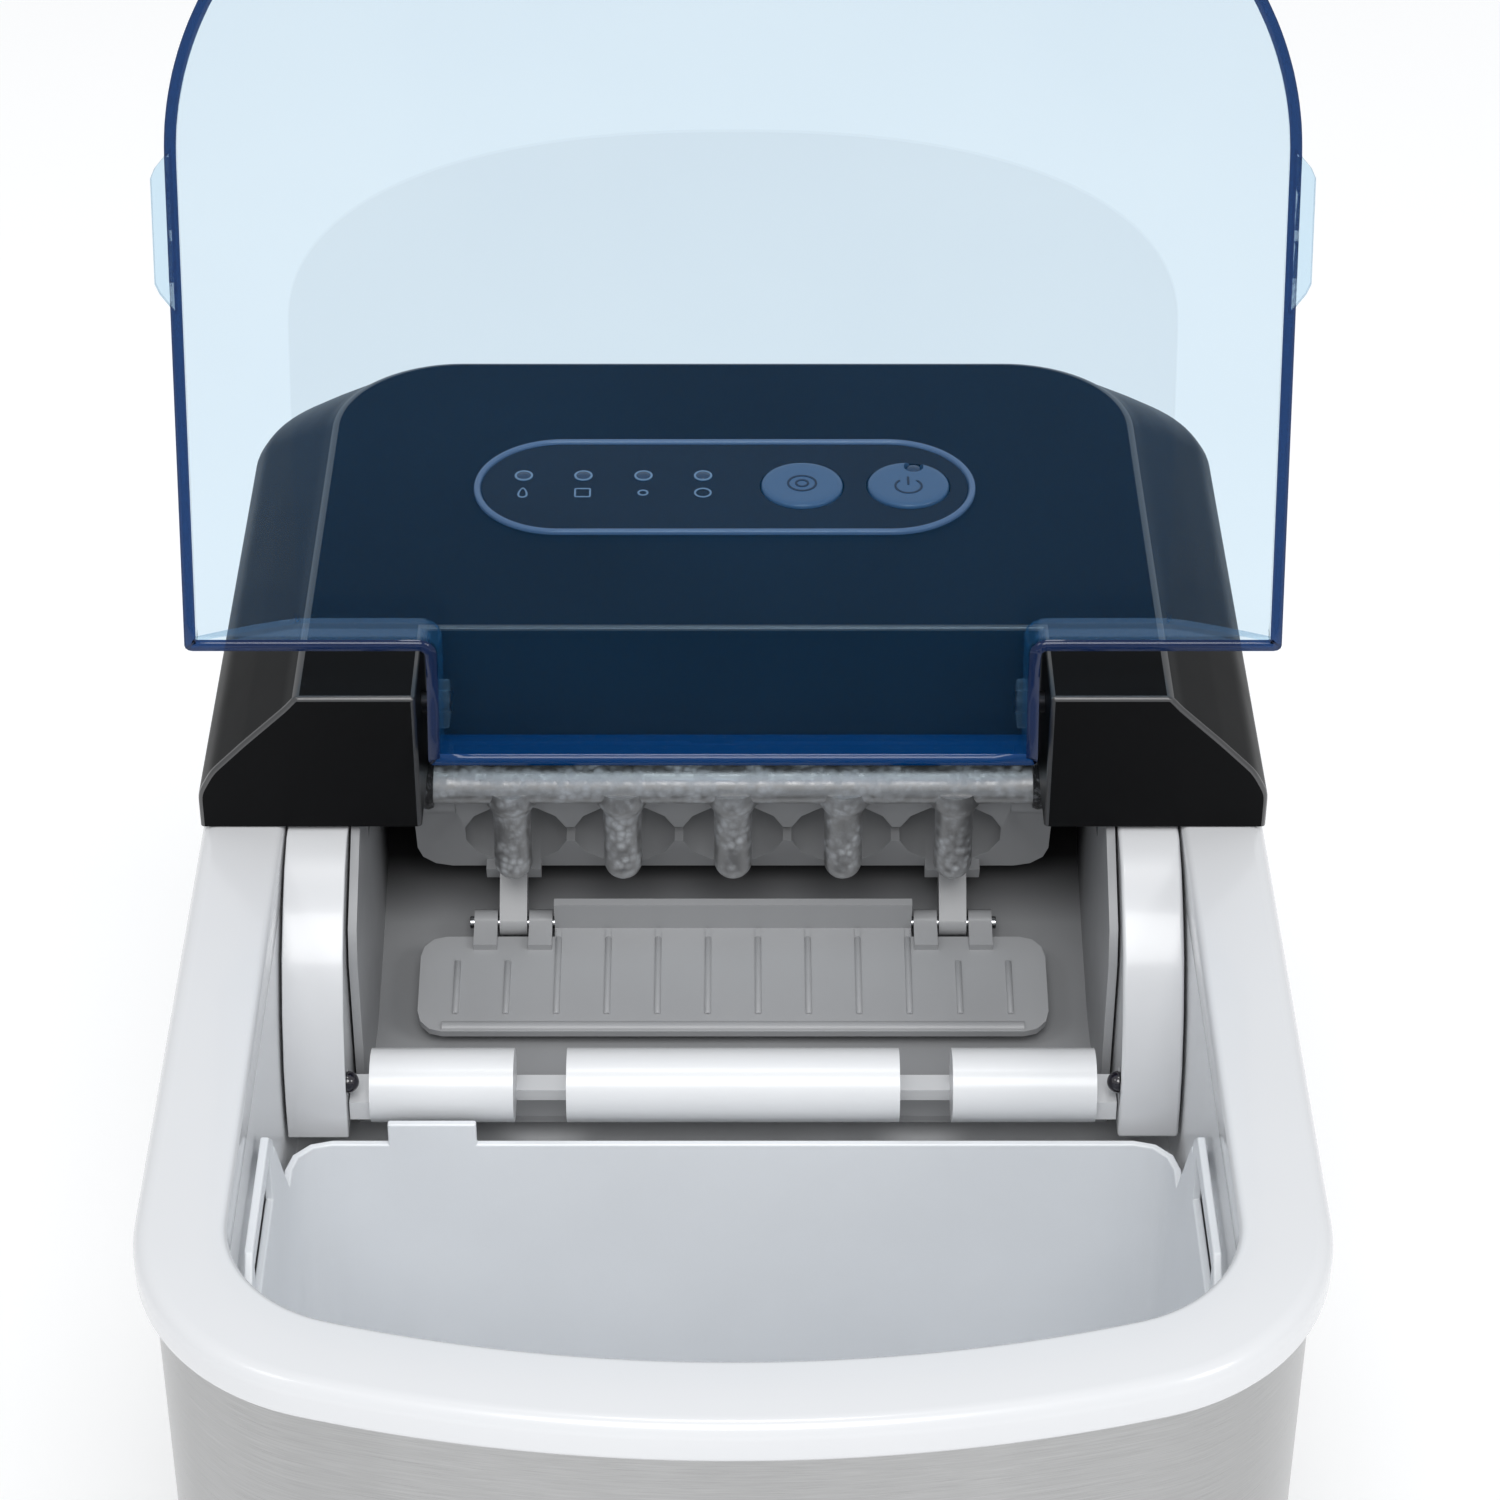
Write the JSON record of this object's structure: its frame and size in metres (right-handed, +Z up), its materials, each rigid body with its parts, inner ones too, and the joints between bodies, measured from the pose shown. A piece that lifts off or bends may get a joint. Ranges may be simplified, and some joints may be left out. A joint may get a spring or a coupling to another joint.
{
  "type": "countertop ice maker",
  "caption": "Countertop bullet-ice maker with steel-wrapped body, white rim, tinted flip-up lid, black control hood, tilting water tray, ice pusher and lift-out basket.",
  "frame": {"origin": "centre of the footprint, on the plane of the four feet", "axes": "+Z up, front of the machine towards -Y, +X to the right seen from the front"},
  "size_m": [0.2486, 0.358, 0.513],
  "materials": {
    "rubber": "soft black rubber",
    "black_matt": "fine-grained matt black",
    "steel": "horizontal brushed stainless",
    "screw_steel": "bright steel",
    "white": "satin white",
    "basket_white": "satin off-white",
    "grey": "satin light grey",
    "black_gloss": "satin black",
    "nickel": "nickel-plated, frosted by cold",
    "panel_blue": "silver-blue",
    "lens": "frosted lens",
    "board": "solder resist",
    "tinted_lid": "clear blue-tinted plastic",
    "aluminium": "mill finish",
    "motor_steel": "zinc-plated can",
    "copper": "copper tube",
    "hose": "silicone"
  },
  "bodies": {
    "housing": {"foot_front_left": "rubber", "foot_front_right": "rubber", "foot_rear_left": "rubber", "foot_rear_right": "rubber", "compressor_mount_1": "rubber", "compressor_mount_2": "rubber", "compressor_mount_3": "rubber", "compressor_mount_4": "rubber", "base_pan": "black_matt", "rear_panel": "black_matt", "power_inlet": "black_matt", "level_stem": "black_matt", "fan_shroud": "black_matt", "foam_sleeve_left": "black_matt", "foam_sleeve_right": "black_matt", "steel_wrap": "steel", "rear_screw_1": "screw_steel", "rear_screw_2": "screw_steel", "lid_pin_left": "screw_steel", "lid_pin_right": "screw_steel", "top_frame": "white", "liner": "white", "nose_rail": "white", "side_block_left": "white", "side_block_right": "white", "water_pump": "white", "chute": "grey", "hood": "black_gloss", "panel_overlay": "black_gloss", "ir_emitter": "black_gloss", "ir_receiver": "black_gloss", "compressor": "black_gloss", "evaporator": "nickel", "panel_bezel": "panel_blue", "led_1": "lens", "led_2": "lens", "led_3": "lens", "led_4": "lens", "led_power": "lens", "control_board": "board", "condenser": "aluminium", "fan_motor": "motor_steel", "tray_motor": "motor_steel", "suction_line": "copper", "filter_drier": "copper", "capillary_line": "copper", "discharge_line": "copper", "water_hose": "hose"},
    "lid_body": {"lid": "tinted_lid"},
    "tray_body": {"water_tray": "grey"},
    "shovel_body": {"shovel_plate": "grey", "shovel_pin_left": "screw_steel", "shovel_pin_right": "screw_steel"},
    "select_body": {"select_button": "panel_blue"},
    "power_body": {"power_button": "panel_blue"},
    "fan_body": {"fan_blade": "black_matt"},
    "basket_body": {"basket": "basket_white"},
    "drain_body": {"drain_plug": "black_matt"},
    "float_body": {"level_float": "white"}
  },
  "joints": [
    {"name": "lid_hinge", "type": "hinge", "parent": "housing", "child": "lid_body", "pos_m": [0, 0.02708, 0.31319], "axis": [1, 0, 0], "range_deg": [0, 108.5]},
    {"name": "tray_tilt", "type": "hinge", "parent": "housing", "child": "tray_body", "pos_m": [0, 0.05, 0.2705], "axis": [-1, 0, 0], "range_deg": [0, 110]},
    {"name": "shovel_swing", "type": "hinge", "parent": "tray_body", "child": "shovel_body", "pos_m": [0, 0.045, 0.235], "axis": [1, 0, 0], "range_deg": [0, 158.1]},
    {"name": "select_press", "type": "slide", "parent": "housing", "child": "select_body", "axis": [0, 0, -1], "range_m": [0, 0.0008], "stiffness_N_per_m": 600, "springref_m": -0.0006},
    {"name": "power_press", "type": "slide", "parent": "housing", "child": "power_body", "axis": [0, 0, -1], "range_m": [0, 0.0008], "stiffness_N_per_m": 600, "springref_m": -0.0006},
    {"name": "fan_spin", "type": "hinge", "parent": "housing", "child": "fan_body", "pos_m": [-0.035, 0.134, 0.092], "axis": [0, 1, 0], "continuous": true},
    {"name": "basket_lift", "type": "slide", "parent": "housing", "child": "basket_body", "axis": [0, 0, -1], "range_m": [-0.17, 0]},
    {"name": "drain_pull", "type": "slide", "parent": "housing", "child": "drain_body", "axis": [1, 0, 0], "range_m": [0, 0.02]},
    {"name": "float_rise", "type": "slide", "parent": "housing", "child": "float_body", "axis": [0, 0, 1], "range_m": [0, 0.028]}
  ],
  "couplings": [
    {"joint": "shovel_swing", "follows": "tray_tilt", "ratio": 1.4363}
  ]
}
